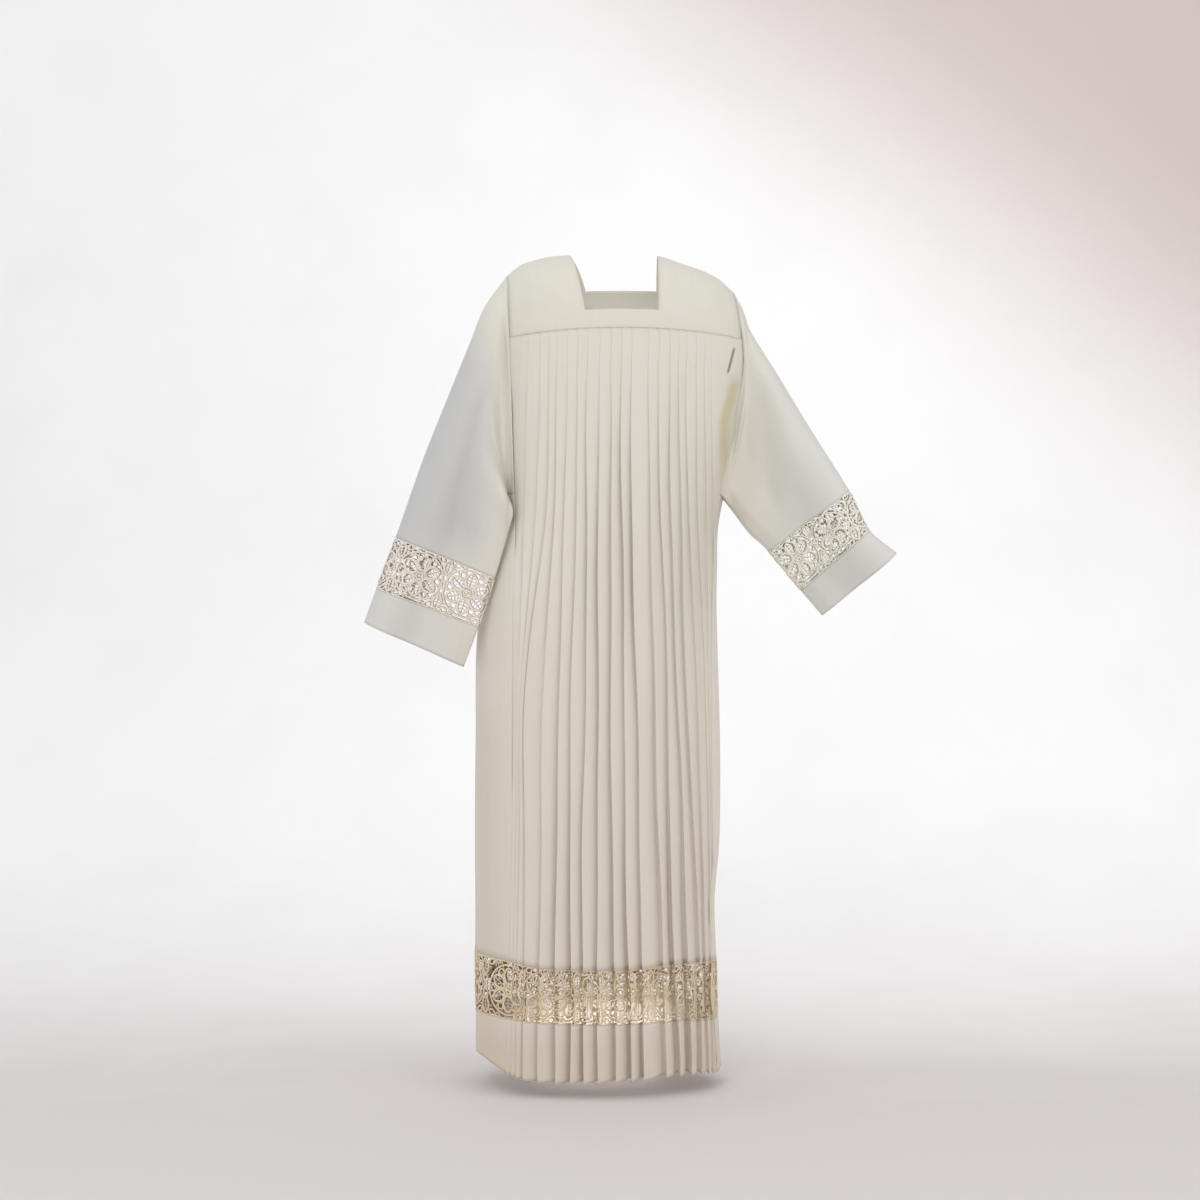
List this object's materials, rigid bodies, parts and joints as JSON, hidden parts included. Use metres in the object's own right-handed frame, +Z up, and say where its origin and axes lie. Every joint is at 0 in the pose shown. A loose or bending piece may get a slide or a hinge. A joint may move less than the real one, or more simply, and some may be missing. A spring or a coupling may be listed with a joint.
{
  "type": "pleated alb with lace insertions (a full-length cotta)",
  "caption": "Hollow worn liturgical robe: square yoke, knife-pleated front and back, wide lace-banded sleeves and a lace-banded hem, open at neck, cuffs and hem.",
  "frame": {"origin": "midway between the shoulders, at the height where they carry the yoke", "axes": "+Z up, -Y the way the wearer faces, +X towards the wearer's left"},
  "size_m": [0.937, 0.4701, 1.486],
  "materials": {
    "ivory_cloth": "smooth light wool and polyester cloth, matt with a faint sheen",
    "golden_lace": "open guipure lace in warm gold thread"
  },
  "bodies": {
    "root": {"yoke_front": "ivory_cloth", "pleated_front": "ivory_cloth", "lace_front": "golden_lace", "hem_front": "ivory_cloth", "yoke_back": "ivory_cloth", "pleated_back": "ivory_cloth", "lace_back": "golden_lace", "hem_back": "ivory_cloth", "side_right": "ivory_cloth", "lace_side_right": "golden_lace", "hem_side_right": "ivory_cloth", "sleeve_right": "ivory_cloth", "sleeve_lace_right": "golden_lace", "cuff_right": "ivory_cloth", "side_left": "ivory_cloth", "lace_side_left": "golden_lace", "hem_side_left": "ivory_cloth", "sleeve_left": "ivory_cloth", "sleeve_lace_left": "golden_lace", "cuff_left": "ivory_cloth"}
  },
  "joints": []
}
